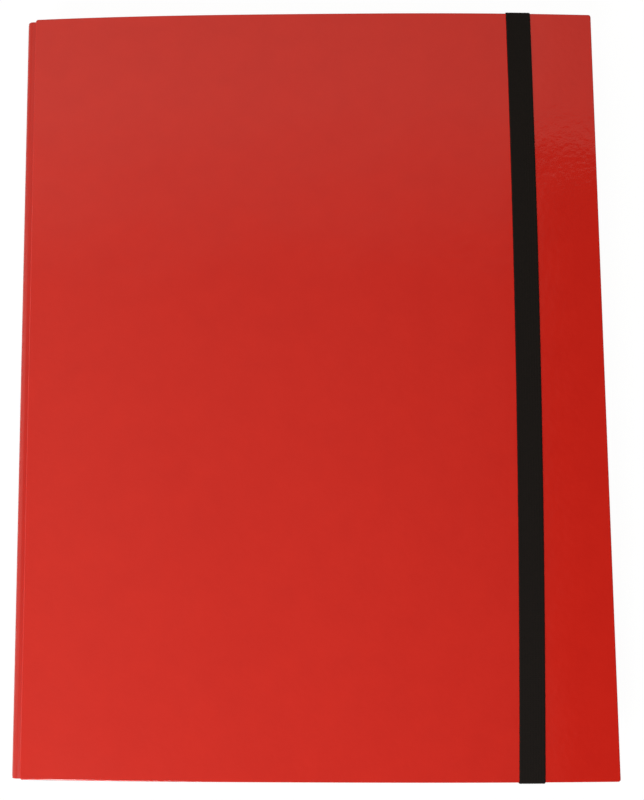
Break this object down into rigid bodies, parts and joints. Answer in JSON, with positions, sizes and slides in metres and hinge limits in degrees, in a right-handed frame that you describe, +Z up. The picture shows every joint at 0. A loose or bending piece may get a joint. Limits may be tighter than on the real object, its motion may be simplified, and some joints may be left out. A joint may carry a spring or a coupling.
{
  "type": "box file",
  "caption": "Elasticated box file for A4 papers: red board covers hinged to a spine by paper joints, with a folded card tray inside.",
  "frame": {"origin": "centre of the bounding box in plan, on the surface it lies on", "axes": "+X from the spine to the fore edge, +Y to the head, +Z up through the closed covers, lying on its back cover"},
  "size_m": [0.2434, 0.3222, 0.0391],
  "materials": {
    "greyboard": "rough grey board",
    "covering_paper": "glossy laminated",
    "lining_paper": "plain matt",
    "tray_card": "smooth card",
    "elastic": "ribbed woven"
  },
  "bodies": {
    "back": {"back_board": "greyboard", "back_cover_paper": "covering_paper", "back_lining": "lining_paper", "tray": "tray_card", "back_joint": "covering_paper", "elastic_band": "elastic", "band_end_top": "elastic", "band_end_bottom": "elastic"},
    "spine": {"spine_board": "greyboard", "spine_cover_paper": "covering_paper", "spine_lining": "lining_paper"},
    "front": {"front_board": "greyboard", "front_cover_paper": "covering_paper", "front_lining": "lining_paper", "front_joint": "covering_paper"}
  },
  "joints": [
    {"name": "spine_hinge", "type": "hinge", "parent": "back", "child": "spine", "pos_m": [-0.12, 0, 0.0026], "axis": [0, -1, 0], "range_deg": [0, 90], "deforming": ["back_joint"]},
    {"name": "cover_hinge", "type": "hinge", "parent": "spine", "child": "front", "pos_m": [-0.12, 0, 0.0341], "axis": [0, -1, 0], "range_deg": [0, 87], "deforming": ["front_joint", "elastic_band"]}
  ]
}
